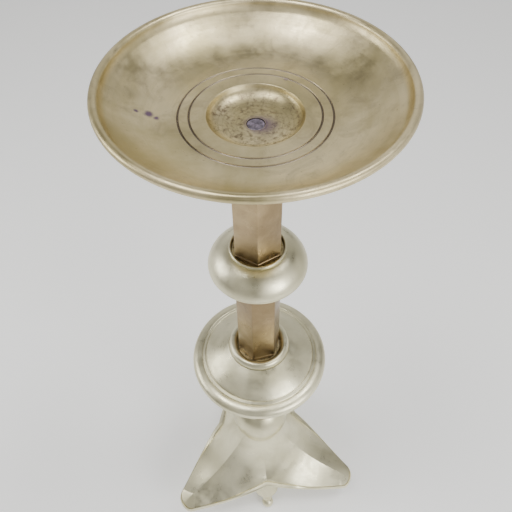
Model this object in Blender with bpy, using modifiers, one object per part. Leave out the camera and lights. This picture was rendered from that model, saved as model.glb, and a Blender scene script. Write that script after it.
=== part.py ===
"""Altar candlestick: a drip pan on three hexagonal stems, two knops, a ball and a three-lobed foot.

Metres, +Z up. The origin is the middle of the candle seat, on the candlestick's axis, so every
height below the pan is negative. The lobes of the base point to 90, 210 and 330 degrees.
"""

import math

import bmesh
import bpy
from mathutils import Matrix, Vector
from mathutils.bvhtree import BVHTree

# ---------------------------------------------------------------- driving dimensions
GAP = 0.0003                 # clearance between two pieces that touch

RIM_RADIUS = 0.1000          # outside of the drip pan
RIM_HEIGHT = 0.0340          # top of the rim above the candle seat
RIM_BEAD = 0.0030            # radius of the rounded rim
PAN_WALL = 0.0026
RIM_DROP = 1.7               # bowl's edge below the rim, in bead radii
BOWL_POWER = 2.1             # how late the bowl turns up
BOWL_FOOT_RADIUS = 0.0510    # where the bowl's curve meets the flat annulus
ANNULUS_HEIGHT = 0.0085
GROOVE_RADII = (0.0497, 0.0426)
GROOVE_DEPTH = 0.0008
RECESS_RADIUS = 0.0318       # candle recess
SEAT_RADIUS = 0.0150         # flat floor of the recess
RECESS_LIP = 0.0004          # small step where the recess meets the annulus
CUP_FOOT = -0.0032           # underside of the recess
CUP_STEPS = ((0.0010, 0.0012), (0.0060, -0.0024))  # inset and height down the cup's outside
CUP_FOOT_SPREAD = 0.0080     # cup's flat foot beyond the seat

ROD_RADIUS = 0.0050
ROD_HEAD_RADIUS = 0.0060
ROD_HEAD_LENGTH = 0.0020
ROD_HOLE = 0.0058

STEM_RADIUS = 0.0214         # across the corners, halved
STEM_WALL = 0.0022
STEM_SOCKET_RADIUS = 0.0219
END_PLATE = 0.0034
UPPER_STEM_TURN = 22.5       # corner directions, degrees
MIDDLE_STEM_TURN = 6.5
LOWER_STEM_TURN = 30.0

COLLAR_TOP = -0.0035         # turned collar under the pan
COLLAR_BOTTOM = -0.0190
COLLAR_RADIUS = 0.0280
COLLAR_BAND = 0.0025         # upright band at the collar's top
COLLAR_COVE = (0.0062, 0.0032)  # hollow under it: depth of its middle, and its radius
COLLAR_STEP = 0.0015         # how much narrower the lower band is
COLLAR_FOOT = 0.0050         # height of the lower band
SOCKET_DEPTH = 0.0032

UPPER_KNOP_LIP = -0.1235     # top of the knop's raised lip
UPPER_KNOP_EQUATOR = -0.1450
UPPER_KNOP_BOTTOM = -0.1565
UPPER_KNOP_RADIUS = 0.0426
UPPER_LIP_RADIUS = 0.0241
UPPER_KNOP_SHOULDER = 0.0024  # where the shell starts, below the lip
UPPER_KNOP_POWER = 1.25      # how square the shell's curve is
UPPER_KNOP_THROAT = 0.0060   # depth of the socket's wall

LOWER_COLLAR_TOP = -0.2800   # half-round ring round the middle stem
LOWER_COLLAR_BOTTOM = -0.2868
LOWER_COLLAR_RADIUS = 0.0314
LOWER_KNOP_TOP = -0.2862
LOWER_KNOP_LINE = -0.3025    # height of the engraved lines
LOWER_KNOP_EQUATOR = -0.3115
LOWER_KNOP_BOTTOM = -0.3350
LOWER_KNOP_RADIUS = 0.0714
LOWER_LINE_RADII = (0.0571, 0.0607)
LINE_MARGIN = (0.0010, 0.0004)  # saucer's end inside the first line, and above it
LINE_SLOPE = 0.40            # fall of the band that carries the lines
LINE_HALF = 0.0006
LINE_CUT = (0.0007, 0.0004)  # fall to a line's bottom and to its outer edge
SAUCER_SWELL = 0.0010
SAUCER_STEPS = 4
KNOP_WALL = 0.0022
CORE_WALL = 0.0034           # sleeve of the spool inside a knop
CORE_FLANGE = 0.0026

BALL_CENTRE = -0.4660
BALL_RADIUS = 0.0345
BALL_WALL = 0.0030
BALL_TOP = -0.4392
BALL_BOTTOM = -0.4887

BASE_TOP = -0.4890
BASE_WALL = 0.0032
CROWN_RADIUS = 0.0260
CROWN_BEVEL = 0.0034
LOBES = 3
VALLEY_RADIUS = 0.0655
VALLEY_EDGE = -0.5660         # lower edge of the skirt at a valley
CORNER_EDGE = -0.5880         # and at the corners of a lobe's end
CORNER = (0.1285, 0.0150)     # along and across a lobe
FOLD_START = 0.1170           # where the ridge breaks into the two end facets
BAND_HEIGHTS = (0.0050, 0.0090)   # raised band along the skirt's edge, at valleys and corners
BAND_SHOULDER = 0.7          # share of the band's height that stands upright
FOLD_STEP = 0.0004           # width of the crease between fold and band
VALLEY_HOLLOW = 0.0060       # how far the valleys sag between crown and edge
TIP_RADIUS = 0.1372
OUTLINE_SWELL = (0.0640, 0.0480)  # control point of the curve from corner to valley
TIP_DROOP = 0.0030           # how far the edge falls again from the corners to the tip
BAND_SET_BACK = (0.0030, 0.0080)  # width of the band's slope, at lobe ends and valleys
RIDGE_START = 0.0140         # ridge below the crown, at the crown's edge
RIDGE_FALL = 0.0700          # and from there to the tip
RIDGE_POWER = 2.4            # how early the ridge falls
FLANK_POWER = 0.85           # how the flanks fall away from the ridge
VALLEY_POWER = 0.9           # how the valleys fall away from the crown
SKIRT_RINGS = 8
EDGE_STEPS = 8               # along the curve from corner to valley
TIP_STEPS = 4                # along the rounded end from tip to corner
TIP_ROUNDNESS = 0.75         # 1 gives a square end, 0 a pointed one
SHARP = 28.0                 # edges bent more than this stay crisp, degrees
FLOOR = -0.6310

FOOT_RADIUS = 0.0700         # circle that the three feet stand on
FOOT_BALL = 0.0078
FOOT_PAD_DROP = 0.0073       # ball's middle above the floor: the ball is worn flat below
FOOT_NECK = 0.0070
FOOT_CONE = 0.0165
FOOT_CONE_LENGTH = 0.0270
FOOT_RINGS = 5               # rings across the foot's top
FOOT_STEPS = 20
NECK_LENGTH = 0.0020         # neck above the ball
FOOT_LENGTH = 0.0555         # from the ball's middle to where the foot turns upright
FOOT_SPLAY = 30.0
FOOT_CLEARANCE = 0.0030      # between a foot's top and the rough inside of the skirt
FOOT_ANGLES = (270.0, 30.0, 150.0)

WASHER_RADIUS = 0.0160
WASHER_THICKNESS = 0.0025
NUT_RADIUS = 0.0104
NUT_HEIGHT = 0.0080
ROD_CHAMFER = 0.0010
ROD_TAIL = 0.0040            # thread that stands out under the nut

PAN_STEPS = 44
KNOP_STEPS = 32
SMALL_STEPS = 24
HEX = 6

BRASS_OLD = ("aged_brass", (0.42, 0.34, 0.17), 0.38, 1.0)
BRASS_PALE = ("pale_brass", (0.55, 0.50, 0.34), 0.32, 1.0)
BRONZE = ("brown_bronze", (0.26, 0.17, 0.08), 0.36, 1.0)
IRON = ("dark_iron", (0.07, 0.07, 0.08), 0.60, 1.0)


# ---------------------------------------------------------------- helpers
def clear_scene():
    """Remove what is in the scene."""
    for obj in list(bpy.data.objects):
        bpy.data.objects.remove(obj, do_unlink=True)


def new_collection(name):
    """Add a collection to the scene."""
    collection = bpy.data.collections.new(name)
    bpy.context.scene.collection.children.link(collection)
    return collection


def metal(spec):
    """Return the metal named in spec, made on first use."""
    name, colour, roughness, metallic = spec
    found = bpy.data.materials.get(name)
    if found:
        return found
    material = bpy.data.materials.new(name)
    material.use_nodes = True
    shader = material.node_tree.nodes["Principled BSDF"]
    shader.inputs["Base Color"].default_value = (*colour, 1.0)
    shader.inputs["Roughness"].default_value = roughness
    shader.inputs["Metallic"].default_value = metallic
    return material


def add_object(name, mesh, spec, collection):
    """Put a mesh in the collection as a named object of one metal."""
    obj = bpy.data.objects.new(name, mesh)
    mesh.materials.append(metal(spec))
    collection.objects.link(obj)
    return obj


def arc(centre_r, centre_z, radius_r, radius_z, start, end, count):
    """Points of an elliptical arc; angles in degrees, 0 outwards and 90 up."""
    points = []
    for i in range(count + 1):
        angle = math.radians(start + (end - start) * i / count)
        r = centre_r + radius_r * math.cos(angle)
        z = centre_z + radius_z * math.sin(angle)
        points.append((r, z))
    return points


def offset_inwards(points, distance):
    """Shift an open (r, z) line that runs downwards on an outer side towards the metal."""
    shifted = []
    for i, point in enumerate(points):
        before = Vector(points[max(i - 1, 0)])
        after = Vector(points[min(i + 1, len(points) - 1)])
        along = (after - before).normalized()
        inward = Vector((along.y, -along.x))
        place = Vector(point) + inward * distance
        shifted.append((place.x, place.y))
    return shifted


def turned(name, profile, spec, collection, steps=KNOP_STEPS, turn=0.0, ring=True):
    """Turn a profile about the axis; ring joins its last point to its first."""
    mesh = bpy.data.meshes.new(name)
    edges = [(i, i + 1) for i in range(len(profile) - 1)]
    if ring:
        edges.append((len(profile) - 1, 0))
    mesh.from_pydata([(r, 0.0, z) for r, z in profile], edges, [])
    obj = add_object(name, mesh, spec, collection)
    screw = obj.modifiers.new("Screw", "SCREW")
    screw.axis = "Z"
    screw.angle = math.radians(360.0)
    screw.steps = steps
    screw.render_steps = steps
    screw.use_merge_vertices = True
    screw.merge_threshold = 0.00001
    screw.use_smooth_shade = steps > HEX
    obj.rotation_euler.z = math.radians(turn)
    return obj


def hex_tube(name, top, bottom, turn, collection):
    """A hexagonal tube with open ends."""
    inner = STEM_RADIUS - STEM_WALL / math.cos(math.radians(30.0))
    profile = [(STEM_RADIUS, top), (STEM_RADIUS, bottom), (inner, bottom), (inner, top)]
    return turned(name, profile, BRONZE, collection, HEX, turn)


def hex_plate(name, top, turn, collection):
    """The plate that closes the bottom of a stem and centres the tie rod."""
    bottom = top - END_PLATE
    profile = [(STEM_RADIUS, top), (STEM_RADIUS, bottom), (ROD_HOLE, bottom), (ROD_HOLE, top)]
    return turned(name, profile, BRONZE, collection, HEX, turn)


def stem(name, top, bottom, turn, collection):
    """A stem tube standing on its end plate, between two heights."""
    plate_top = bottom + END_PLATE
    hex_tube(name, top, plate_top + GAP, turn, collection)
    hex_plate(name + "_end_plate", plate_top, turn, collection)


# ---------------------------------------------------------------- pan
def bowl_height(r):
    """Height of the bowl's upper surface, flat inside and steep at the rim."""
    inner_edge = RIM_RADIUS - 2.0 * RIM_BEAD
    rise = RIM_HEIGHT - RIM_DROP * RIM_BEAD - ANNULUS_HEIGHT
    part = (r - BOWL_FOOT_RADIUS) / (inner_edge - BOWL_FOOT_RADIUS)
    return ANNULUS_HEIGHT + rise * part ** BOWL_POWER


def groove(radius, height):
    """A V-groove in the flat annulus, from its outer edge inwards."""
    half = GROOVE_DEPTH
    return [(radius + half, height), (radius, height - GROOVE_DEPTH), (radius - half, height)]


def add_drip_pan(collection):
    """The dished pan: rounded rim, bowl, two engraved grooves and the candle recess."""
    bead_r = RIM_RADIUS - RIM_BEAD
    bead_z = RIM_HEIGHT - RIM_BEAD
    inner_edge = RIM_RADIUS - 2.0 * RIM_BEAD
    bowl = []
    for i in range(7):
        r = BOWL_FOOT_RADIUS + (inner_edge - BOWL_FOOT_RADIUS) * (1.0 - i / 7)
        bowl.append((r, bowl_height(r)))
    underside = offset_inwards(bowl[1:], -PAN_WALL)
    recess_wall = arc(SEAT_RADIUS, ANNULUS_HEIGHT, RECESS_RADIUS - SEAT_RADIUS - RECESS_LIP,
                      ANNULUS_HEIGHT, -8.0, -90.0, 6)
    cup = RECESS_RADIUS + PAN_WALL
    profile = arc(bead_r, bead_z, RIM_BEAD, RIM_BEAD, 180.0, -90.0, 9)
    outer_foot = [(BOWL_FOOT_RADIUS, ANNULUS_HEIGHT - PAN_WALL), (cup, ANNULUS_HEIGHT - PAN_WALL)]
    cup_wall = [(cup - inset, height) for inset, height in CUP_STEPS]
    cup_wall.append((SEAT_RADIUS + CUP_FOOT_SPREAD, CUP_FOOT))
    hole = [(ROD_RADIUS + GAP, CUP_FOOT), (ROD_RADIUS + GAP, -ROD_HEAD_LENGTH - GAP),
            (ROD_HEAD_RADIUS + GAP, -ROD_HEAD_LENGTH - GAP), (ROD_HEAD_RADIUS + GAP, 0.0)]
    inside = [(RECESS_RADIUS, ANNULUS_HEIGHT)] + recess_wall
    upper = list(reversed(inside))
    for radius in reversed(GROOVE_RADII):
        upper += list(reversed(groove(radius, ANNULUS_HEIGHT)))
    upper += list(reversed(bowl[1:]))
    profile += underside + outer_foot + cup_wall + hole + upper
    return turned("drip_pan", profile, BRASS_OLD, collection, PAN_STEPS)


def add_pan_collar(collection):
    """The turned collar that carries the pan on the upper stem."""
    depth, cove = COLLAR_COVE
    lower = COLLAR_RADIUS - COLLAR_STEP
    floor = COLLAR_BOTTOM + SOCKET_DEPTH
    profile = [(COLLAR_RADIUS, COLLAR_TOP), (COLLAR_RADIUS, COLLAR_TOP - COLLAR_BAND)]
    profile += arc(COLLAR_RADIUS, COLLAR_TOP - depth, cove, cove, 110.0, 250.0, 5)
    profile += [(lower, COLLAR_BOTTOM + COLLAR_FOOT), (lower, COLLAR_BOTTOM)]
    profile += [(STEM_SOCKET_RADIUS, COLLAR_BOTTOM), (STEM_SOCKET_RADIUS, floor)]
    profile += [(ROD_HOLE, floor), (ROD_HOLE, COLLAR_TOP)]
    return turned("pan_collar", profile, BRASS_PALE, collection)


# ---------------------------------------------------------------- knops
def add_upper_knop(collection):
    """The oblate knop: a lipped top shell, a bottom shell and the core between the stems."""
    lip_inner = STEM_SOCKET_RADIUS
    lip_mid = (UPPER_LIP_RADIUS + lip_inner) / 2.0
    lip_half = (UPPER_LIP_RADIUS - lip_inner) / 2.0
    lip = arc(lip_mid, UPPER_KNOP_LIP - lip_half, lip_half, lip_half, 180.0, 0.0, 4)
    depth = UPPER_KNOP_LIP - UPPER_KNOP_SHOULDER - UPPER_KNOP_EQUATOR
    reach = UPPER_KNOP_RADIUS - UPPER_LIP_RADIUS
    outer = []
    for i in range(9):
        angle = math.radians(90.0 * (1.0 - i / 8))
        r = UPPER_LIP_RADIUS + reach * math.cos(angle) ** UPPER_KNOP_POWER
        z = UPPER_KNOP_EQUATOR + depth * math.sin(angle) ** UPPER_KNOP_POWER
        outer.append((r, z))
    inner = offset_inwards(outer, KNOP_WALL)[2:-1]
    inner.append((UPPER_KNOP_RADIUS - KNOP_WALL, UPPER_KNOP_EQUATOR))
    throat = [(lip_inner, UPPER_KNOP_LIP - UPPER_KNOP_THROAT)]
    top = lip + outer + list(reversed(inner)) + throat
    turned("upper_knop_top", top, BRASS_PALE, collection)

    seam = UPPER_KNOP_EQUATOR - GAP
    drop = seam - UPPER_KNOP_BOTTOM
    reach = UPPER_KNOP_RADIUS - lip_inner
    outer = arc(lip_inner, seam, reach, drop, 0.0, -90.0, 7)
    inner = arc(lip_inner, seam, reach - KNOP_WALL, drop - KNOP_WALL, -90.0, 0.0, 4)
    turned("upper_knop_bottom", outer + inner, BRASS_PALE, collection)

    add_core("upper_knop_core", UPPER_KNOP_LIP - SOCKET_DEPTH, UPPER_KNOP_BOTTOM, collection)


def add_core(name, top, bottom, collection):
    """A spool inside a knop: its flanges carry the stems, its bore takes the tie rod."""
    flange = STEM_SOCKET_RADIUS - GAP
    sleeve = ROD_HOLE + CORE_WALL
    profile = [(flange, top), (flange, top - CORE_FLANGE), (sleeve, top - CORE_FLANGE),
               (sleeve, bottom + CORE_FLANGE), (flange, bottom + CORE_FLANGE), (flange, bottom),
               (ROD_HOLE, bottom), (ROD_HOLE, top)]
    return turned(name, profile, BRASS_OLD, collection, SMALL_STEPS)


def add_lower_knop(collection):
    """The wide knop: half-round collar, saucer top with two engraved lines, bowl and core."""
    ring_inner = STEM_SOCKET_RADIUS
    ring_mid = (ring_inner + LOWER_COLLAR_RADIUS) / 2.0
    ring_half = (LOWER_COLLAR_RADIUS - ring_inner) / 2.0
    ring_height = LOWER_COLLAR_TOP - LOWER_COLLAR_BOTTOM
    ring = arc(ring_mid, LOWER_COLLAR_BOTTOM, ring_half, ring_height, 180.0, 0.0, 8)
    turned("lower_knop_collar", ring, BRASS_PALE, collection)

    shelf = LOWER_COLLAR_BOTTOM - GAP
    outer = [(ring_inner, shelf), (LOWER_COLLAR_RADIUS + GAP, shelf),
             (LOWER_COLLAR_RADIUS + GAP, LOWER_KNOP_TOP)]
    start = Vector(outer[-1])
    margin, above = LINE_MARGIN
    end = Vector((LOWER_LINE_RADII[0] - margin, LOWER_KNOP_LINE + above))
    for i in range(1, SAUCER_STEPS + 1):
        place = start.lerp(end, i / SAUCER_STEPS)
        swell = SAUCER_SWELL * math.sin(math.pi * i / SAUCER_STEPS)
        outer.append((place.x, place.y + swell))
    for radius in LOWER_LINE_RADII:
        z = LOWER_KNOP_LINE - (radius - LOWER_LINE_RADII[0]) * LINE_SLOPE
        outer += [(radius - LINE_HALF, z), (radius, z - LINE_CUT[0]), (radius + LINE_HALF, z - LINE_CUT[1])]
    last_r, last_z = outer[-1]
    curve = arc(last_r, LOWER_KNOP_EQUATOR, LOWER_KNOP_RADIUS - last_r, last_z - LOWER_KNOP_EQUATOR,
                90.0, 0.0, 6)
    outer += curve[1:]
    inner = [(LOWER_KNOP_RADIUS - KNOP_WALL, LOWER_KNOP_EQUATOR)]
    inner += [(LOWER_LINE_RADII[1] + margin, last_z - KNOP_WALL - margin)]
    inner += [(LOWER_LINE_RADII[0] - margin, LOWER_KNOP_LINE - KNOP_WALL)]
    inner += [(LOWER_COLLAR_RADIUS, shelf - KNOP_WALL)]
    inner += [(ring_inner, shelf - KNOP_WALL)]
    turned("lower_knop_top", outer + inner, BRASS_PALE, collection)

    seam = LOWER_KNOP_EQUATOR - GAP
    drop = seam - LOWER_KNOP_BOTTOM
    reach = LOWER_KNOP_RADIUS - ring_inner
    outer = arc(ring_inner, seam, reach, drop, 0.0, -90.0, 9)
    inner = arc(ring_inner, seam, reach - KNOP_WALL, drop - KNOP_WALL, -90.0, 0.0, 5)
    turned("lower_knop_bowl", outer + inner, BRASS_PALE, collection)

    add_core("lower_knop_core", LOWER_COLLAR_TOP - 2.0 * SOCKET_DEPTH, LOWER_KNOP_BOTTOM, collection)


# ---------------------------------------------------------------- base
def add_base_ball(collection):
    """The hollow ball between the lower stem and the base."""
    top_angle = math.degrees(math.asin((BALL_TOP - BALL_CENTRE) / BALL_RADIUS))
    bottom_angle = math.degrees(math.asin((BALL_BOTTOM - BALL_CENTRE) / BALL_RADIUS))
    inside = BALL_RADIUS - BALL_WALL
    ceiling = BALL_TOP - BALL_WALL
    inner_top = math.degrees(math.asin((ceiling - BALL_CENTRE) / inside))
    inner_bottom = math.degrees(math.asin((BALL_BOTTOM - BALL_CENTRE) / inside))
    profile = arc(0.0, BALL_CENTRE, BALL_RADIUS, BALL_RADIUS, top_angle, bottom_angle, 9)
    profile += arc(0.0, BALL_CENTRE, inside, inside, inner_bottom, inner_top, 5)
    profile += [(ROD_HOLE, ceiling), (ROD_HOLE, BALL_TOP)]
    return turned("base_ball", profile, BRASS_PALE, collection)


def blend(value, low, high):
    """Smooth step from 0 at low to 1 at high."""
    part = min(max((value - low) / (high - low), 0.0), 1.0)
    return part * part * (3.0 - 2.0 * part)


def lobe_outline():
    """Plan of half a lobe from its tip to the valley, as (along, across) points."""
    tip = Vector((TIP_RADIUS, 0.0))
    corner = Vector(CORNER)
    half = math.radians(180.0 / LOBES)
    valley = Vector((VALLEY_RADIUS * math.cos(half), VALLEY_RADIUS * math.sin(half)))
    swell = Vector(OUTLINE_SWELL)
    shoulder = Vector((TIP_RADIUS, CORNER[1] * TIP_ROUNDNESS))
    points = []
    for i in range(TIP_STEPS):
        t = i / TIP_STEPS
        points.append(tip * (1 - t) ** 2 + shoulder * 2 * t * (1 - t) + corner * t ** 2)
    for i in range(EDGE_STEPS + 1):
        t = i / EDGE_STEPS
        points.append(corner * (1 - t) ** 2 + swell * 2 * t * (1 - t) + valley * t ** 2)
    return points


def edge_height(radius):
    """Height of the skirt's lower edge, which droops from the valleys to the lobe ends."""
    corner = Vector(CORNER).length
    part = min((radius - VALLEY_RADIUS) / (corner - VALLEY_RADIUS), 1.0)
    droop = TIP_DROOP * max(radius - corner, 0.0) / (TIP_RADIUS - corner)
    return VALLEY_EDGE + (CORNER_EDGE - VALLEY_EDGE) * (1.0 - (1.0 - part) ** 2) - droop


def ridge_height(radius):
    """Height of a lobe's ridge: a concave sweep out of the crown."""
    sweep = (radius - CROWN_RADIUS) / (TIP_RADIUS - CROWN_RADIUS)
    return BASE_TOP - RIDGE_START - RIDGE_FALL * (1.0 - (1.0 - sweep) ** RIDGE_POWER)


def band_height(radius):
    """Height of the band, which grows towards the lobe ends."""
    low, high = BAND_HEIGHTS
    return low + (high - low) * blend(radius, VALLEY_RADIUS, Vector(CORNER).length)


def band_line(edge):
    """Radius and height of the line above the band, at one point of the outline."""
    radius = edge.length
    narrow, wide = BAND_SET_BACK
    middle = (VALLEY_RADIUS + Vector(CORNER).length) / 2.0
    width = narrow + (wide - narrow) * (1.0 - blend(radius, VALLEY_RADIUS, middle))
    return radius - width, edge_height(radius) + band_height(radius)


def band_table():
    """Radius, direction and height of the line above the band, from a corner to the valley."""
    rows = []
    for edge in lobe_outline()[TIP_STEPS:]:
        radius, height = band_line(edge)
        rows.append((radius, math.atan2(edge.y, edge.x), height))
    return rows


def flank_foot(radius, rows):
    """Direction and height where the flank at a radius meets the band, or the valley inside it."""
    valley_r, valley_angle, valley_z = rows[-1]
    if radius <= valley_r:
        part = (radius - CROWN_RADIUS) / (valley_r - CROWN_RADIUS)
        drop = (ridge_height(valley_r) - valley_z) * part ** VALLEY_POWER
        drop += VALLEY_HOLLOW * math.sin(math.pi * part)
        return valley_angle, ridge_height(radius) - drop
    for outer, inner in zip(rows, rows[1:]):
        if radius >= inner[0]:
            part = min((radius - inner[0]) / (outer[0] - inner[0]), 1.0)
            return inner[1] + (outer[1] - inner[1]) * part, inner[2] + (outer[2] - inner[2]) * part
    return valley_angle, valley_z


def skirt_height(radius, angle, rows):
    """Height of the skirt: creased at the ridge, falling round to the band or the valley."""
    foot_angle, foot_z = flank_foot(radius, rows)
    share = min(angle / foot_angle, 1.0)
    top = ridge_height(radius)
    return top - (top - foot_z) * share ** FLANK_POWER


def skirt_column(edge, rows):
    """Radii and heights down the skirt from the crown to one point of its outline.

    Near a lobe's tip the skirt folds along a line from the ridge to the corner, and runs flat
    from there to the band.
    """
    line_r, line_z = band_line(edge)
    angle = math.atan2(edge.y, edge.x)
    part = angle / math.atan2(CORNER[1], CORNER[0])
    fold_r = line_r - 2.0 * FOLD_STEP
    if part < 1.0:
        corner_r = band_line(Vector(CORNER))[0] - 2.0 * FOLD_STEP
        fold_r = FOLD_START + (corner_r - FOLD_START) * part
    column = []
    for i in range(SKIRT_RINGS + 1):
        r = CROWN_RADIUS + (fold_r - CROWN_RADIUS) * i / SKIRT_RINGS
        column.append((r, skirt_height(r, angle, rows)))
    fold_z = column[-1][1]
    column.append(((fold_r + line_r) / 2.0, (fold_z + line_z) / 2.0))
    column.append((line_r, line_z))
    shoulder = edge_height(edge.length) + band_height(edge.length) * BAND_SHOULDER
    column.append((edge.length - 2.0 * FOLD_STEP, shoulder))
    column.append((edge.length, edge_height(edge.length)))
    return column


def add_base_casting(collection):
    """The three-lobed base: one skirt lofted from the round crown to the lobed outline."""
    crown = [(ROD_HOLE, BASE_TOP), (CROWN_RADIUS - CROWN_BEVEL, BASE_TOP),
             (CROWN_RADIUS - 2.0 * FOLD_STEP, BASE_TOP - CROWN_BEVEL)]
    half = lobe_outline()
    rows = band_table()
    directions = []
    for lobe in range(LOBES):
        middle = 90.0 + 360.0 * lobe / LOBES
        spokes = [(middle + math.degrees(math.atan2(p.y, p.x)), p) for p in half[:-1]]
        mirrored = [(middle - math.degrees(math.atan2(p.y, p.x)), p) for p in half[1:]]
        directions += list(reversed(mirrored)) + spokes
    mesh = bpy.data.meshes.new("base_casting")
    bm = bmesh.new()
    columns = []
    for angle, edge in directions:
        turn = Matrix.Rotation(math.radians(angle), 3, "Z")
        column = crown + skirt_column(edge, rows)
        columns.append([bm.verts.new(turn @ Vector((r, 0.0, z))) for r, z in column])
    for i, column in enumerate(columns):
        following = columns[(i + 1) % len(columns)]
        for j in range(len(column) - 1):
            bm.faces.new((column[j], column[j + 1], following[j + 1], following[j]))
    bm.to_mesh(mesh)
    bm.free()
    obj = add_object("base_casting", mesh, BRASS_PALE, collection)
    solidify = obj.modifiers.new("Wall", "SOLIDIFY")
    solidify.thickness = BASE_WALL
    solidify.offset = -1.0
    solidify.use_even_offset = False
    mesh.shade_smooth()
    mesh.set_sharp_from_angle(angle=math.radians(SHARP))
    return obj


def foot_matrix(angle):
    """Place of a foot's ball: splayed outwards, standing on the floor."""
    turn = Matrix.Rotation(math.radians(angle), 4, "Z")
    shift = Matrix.Translation((FOOT_RADIUS, 0.0, FLOOR + FOOT_PAD_DROP))
    splay = Matrix.Rotation(math.radians(-FOOT_SPLAY), 4, "Y")
    return turn @ shift @ splay


def foot_mesh(base, collection):
    """A cast peg foot: ball end, neck and cone, its top raised to meet the inside of the skirt."""
    cap = [(FOOT_CONE * i / FOOT_RINGS, FOOT_LENGTH) for i in range(FOOT_RINGS + 1)]
    profile = cap + [(FOOT_CONE, FOOT_CONE_LENGTH), (FOOT_NECK, FOOT_BALL + NECK_LENGTH)]
    profile += arc(0.0, 0.0, FOOT_BALL, FOOT_BALL, 42.0, -90.0, 7)[:-1]
    profile += [(0.0, -FOOT_BALL)]
    pattern = turned("foot_pattern", profile, BRASS_PALE, collection, FOOT_STEPS, ring=False)
    bpy.context.view_layer.update()
    depsgraph = bpy.context.evaluated_depsgraph_get()
    mesh = bpy.data.meshes.new_from_object(pattern.evaluated_get(depsgraph))
    bpy.data.objects.remove(pattern)
    skirt = BVHTree.FromObject(base, depsgraph)
    place = foot_matrix(FOOT_ANGLES[0])
    back = place.inverted()
    for vert in mesh.vertices:
        if vert.co.z > FOOT_LENGTH - GAP:
            start = place @ vert.co
            hit = skirt.ray_cast(start, Vector((0.0, 0.0, 1.0)))[0]
            vert.co = back @ Vector((hit.x, hit.y, hit.z - FOOT_CLEARANCE))
    mesh.update()
    return mesh


def add_feet(base, cutters, collection):
    """Three alike feet under the valleys, each worn flat where it meets the floor."""
    mesh = foot_mesh(base, collection)
    floor = floor_cutter(cutters)
    for number, angle in enumerate(FOOT_ANGLES, start=1):
        foot = bpy.data.objects.new(f"foot_{number}", mesh)
        foot.matrix_world = foot_matrix(angle)
        collection.objects.link(foot)
        wear = foot.modifiers.new("Worn flat", "BOOLEAN")
        wear.operation = "DIFFERENCE"
        wear.object = floor


def floor_cutter(collection):
    """The space below the floor, which flattens the feet."""
    mesh = bpy.data.meshes.new("under_floor")
    bm = bmesh.new()
    size = 4.0 * FOOT_RADIUS
    bmesh.ops.create_cube(bm, size=size)
    bmesh.ops.translate(bm, vec=(0.0, 0.0, FLOOR - size / 2.0), verts=bm.verts)
    bm.to_mesh(mesh)
    bm.free()
    return as_cutter(mesh, collection)


def as_cutter(mesh, collection):
    """An object that only cuts others."""
    cutter = bpy.data.objects.new(mesh.name, mesh)
    cutter.hide_render = True
    cutter.display_type = "WIRE"
    collection.objects.link(cutter)
    return cutter


# ---------------------------------------------------------------- tie rod
def add_tie_rod(collection):
    """The iron rod that clamps the stack, with the washer and nut under the base's crown."""
    washer_top = BASE_TOP - BASE_WALL - GAP
    washer_bottom = washer_top - WASHER_THICKNESS
    nut_top = washer_bottom - GAP
    nut_bottom = nut_top - NUT_HEIGHT
    rod_end = nut_bottom - ROD_TAIL
    shoulder = -ROD_HEAD_LENGTH
    profile = [(0.0, 0.0), (ROD_HEAD_RADIUS, 0.0), (ROD_HEAD_RADIUS, shoulder), (ROD_RADIUS, shoulder),
               (ROD_RADIUS, rod_end + ROD_CHAMFER), (ROD_RADIUS - ROD_CHAMFER, rod_end), (0.0, rod_end)]
    turned("tie_rod", profile, IRON, collection, SMALL_STEPS, ring=False)

    hole = ROD_RADIUS + GAP
    profile = [(WASHER_RADIUS, washer_top), (WASHER_RADIUS, washer_bottom), (hole, washer_bottom),
               (hole, washer_top)]
    turned("tie_rod_washer", profile, IRON, collection, SMALL_STEPS)

    mesh = bpy.data.meshes.new("tie_rod_nut")
    bm = bmesh.new()
    bmesh.ops.create_cone(bm, cap_ends=True, segments=HEX, radius1=NUT_RADIUS, radius2=NUT_RADIUS,
                          depth=NUT_HEIGHT)
    bm.to_mesh(mesh)
    bm.free()
    nut = add_object("tie_rod_nut", mesh, IRON, collection)
    nut.location.z = (nut_top + nut_bottom) / 2.0
    return nut


def add_nut_bore(nut, collection):
    """The bore of the nut, as a cutter round the tie rod."""
    mesh = bpy.data.meshes.new("nut_bore")
    bm = bmesh.new()
    bmesh.ops.create_cone(bm, cap_ends=True, segments=SMALL_STEPS, radius1=ROD_RADIUS + GAP,
                          radius2=ROD_RADIUS + GAP, depth=NUT_HEIGHT * 2.0)
    bm.to_mesh(mesh)
    bm.free()
    bore = as_cutter(mesh, collection)
    bore.location = nut.location
    cut = nut.modifiers.new("Bore", "BOOLEAN")
    cut.operation = "DIFFERENCE"
    cut.object = bore


def main():
    """Build the candlestick from the pan down."""
    clear_scene()
    parts = new_collection("altar_candlestick")
    cutters = new_collection("cutters")

    add_drip_pan(parts)
    add_pan_collar(parts)
    upper_top = COLLAR_BOTTOM + SOCKET_DEPTH - GAP
    stem("upper_stem", upper_top, UPPER_KNOP_LIP - SOCKET_DEPTH + GAP, UPPER_STEM_TURN, parts)
    add_upper_knop(parts)
    core_top = LOWER_COLLAR_TOP - 2.0 * SOCKET_DEPTH
    stem("middle_stem", UPPER_KNOP_BOTTOM - GAP, core_top + GAP, MIDDLE_STEM_TURN, parts)
    add_lower_knop(parts)
    stem("lower_stem", LOWER_KNOP_BOTTOM - GAP, BALL_TOP + GAP, LOWER_STEM_TURN, parts)
    add_base_ball(parts)
    base = add_base_casting(parts)
    add_feet(base, cutters, parts)
    nut = add_tie_rod(parts)
    add_nut_bore(nut, cutters)


main()
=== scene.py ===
"""Looks of the altar candlestick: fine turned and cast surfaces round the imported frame.

Metres, +Z up. The origin is the middle of the candle seat, on the candlestick's axis.
"""

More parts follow.
